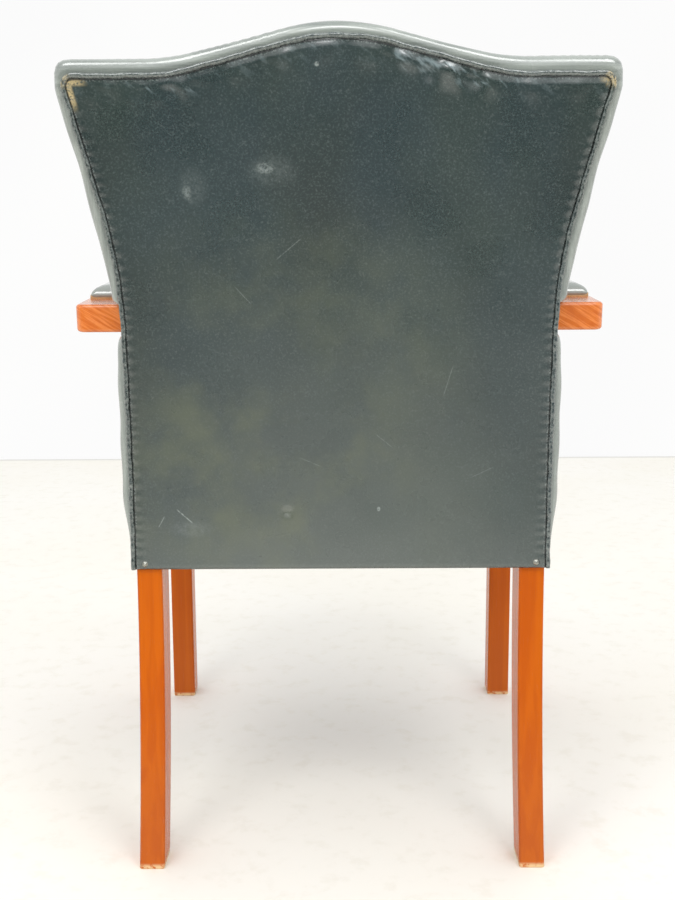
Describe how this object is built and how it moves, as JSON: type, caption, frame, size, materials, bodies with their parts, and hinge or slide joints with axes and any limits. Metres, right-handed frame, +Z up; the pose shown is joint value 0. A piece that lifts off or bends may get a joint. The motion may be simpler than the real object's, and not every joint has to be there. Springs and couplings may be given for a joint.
{
  "type": "open armchair",
  "caption": "Open-armed upholstered chair with a buttoned leather back, crest-shaped top, padded wooden arms, square front legs and swept rear legs.",
  "frame": {"origin": "on the floor, under the middle of the chair's bounding box", "axes": "+Z up, the chair faces -Y, +X to the sitter's left"},
  "size_m": [0.6436, 0.6358, 0.9605],
  "materials": {
    "stained_wood": "cherry-stained hardwood under a semi-gloss varnish",
    "frame_wood": "plain sawn hardwood",
    "dowel_wood": "plain beech dowel",
    "pad_board": "plain plywood",
    "steel": "plated wood screws",
    "nail_metal": "dulled nickel",
    "webbing": "woven jute webbing",
    "hessian": "coarse woven hessian",
    "foam": "upholstery foam and wadding",
    "twine": "waxed twine",
    "dust_cover": "black cambric",
    "leather": "glossy blue-green leather",
    "welt_leather": "glossy blue-green leather over cord",
    "button_leather": "glossy blue-green leather over a button mould"
  },
  "bodies": {
    "root": {"arm_dowels": "dowel_wood", "arm_left": "stained_wood", "arm_pad_board_left": "pad_board", "arm_pad_board_right": "pad_board", "arm_pad_cover_left": "leather", "arm_pad_cover_right": "leather", "arm_pad_foam_left": "foam", "arm_pad_foam_right": "foam", "arm_pad_screws": "steel", "arm_rear_screws": "steel", "arm_right": "stained_wood", "arm_support_left": "stained_wood", "arm_support_right": "stained_wood", "arm_support_screws": "steel", "back_buttons": "button_leather", "back_corner_nails": "nail_metal", "back_foam": "foam", "back_hessian": "hessian", "back_lower_rail": "frame_wood", "back_rail_dowels": "dowel_wood", "back_webbing_crosswise": "webbing", "back_webbing_upright": "webbing", "back_welt": "welt_leather", "button_twines": "twine", "corner_block_screws": "steel", "corner_blocks": "frame_wood", "crest_rail": "frame_wood", "dust_cover": "dust_cover", "front_leg_left": "stained_wood", "front_leg_right": "stained_wood", "inside_back_cover": "leather", "outside_back_panel": "leather", "outside_back_wadding": "foam", "rail_dowels": "dowel_wood", "rear_post_left": "stained_wood", "rear_post_right": "stained_wood", "seat_cover": "leather", "seat_foam": "foam", "seat_hessian": "hessian", "seat_rail_front": "frame_wood", "seat_rail_left": "frame_wood", "seat_rail_rear": "frame_wood", "seat_rail_right": "frame_wood", "seat_webbing_crosswise": "webbing", "seat_webbing_lengthwise": "webbing"}
  },
  "joints": []
}
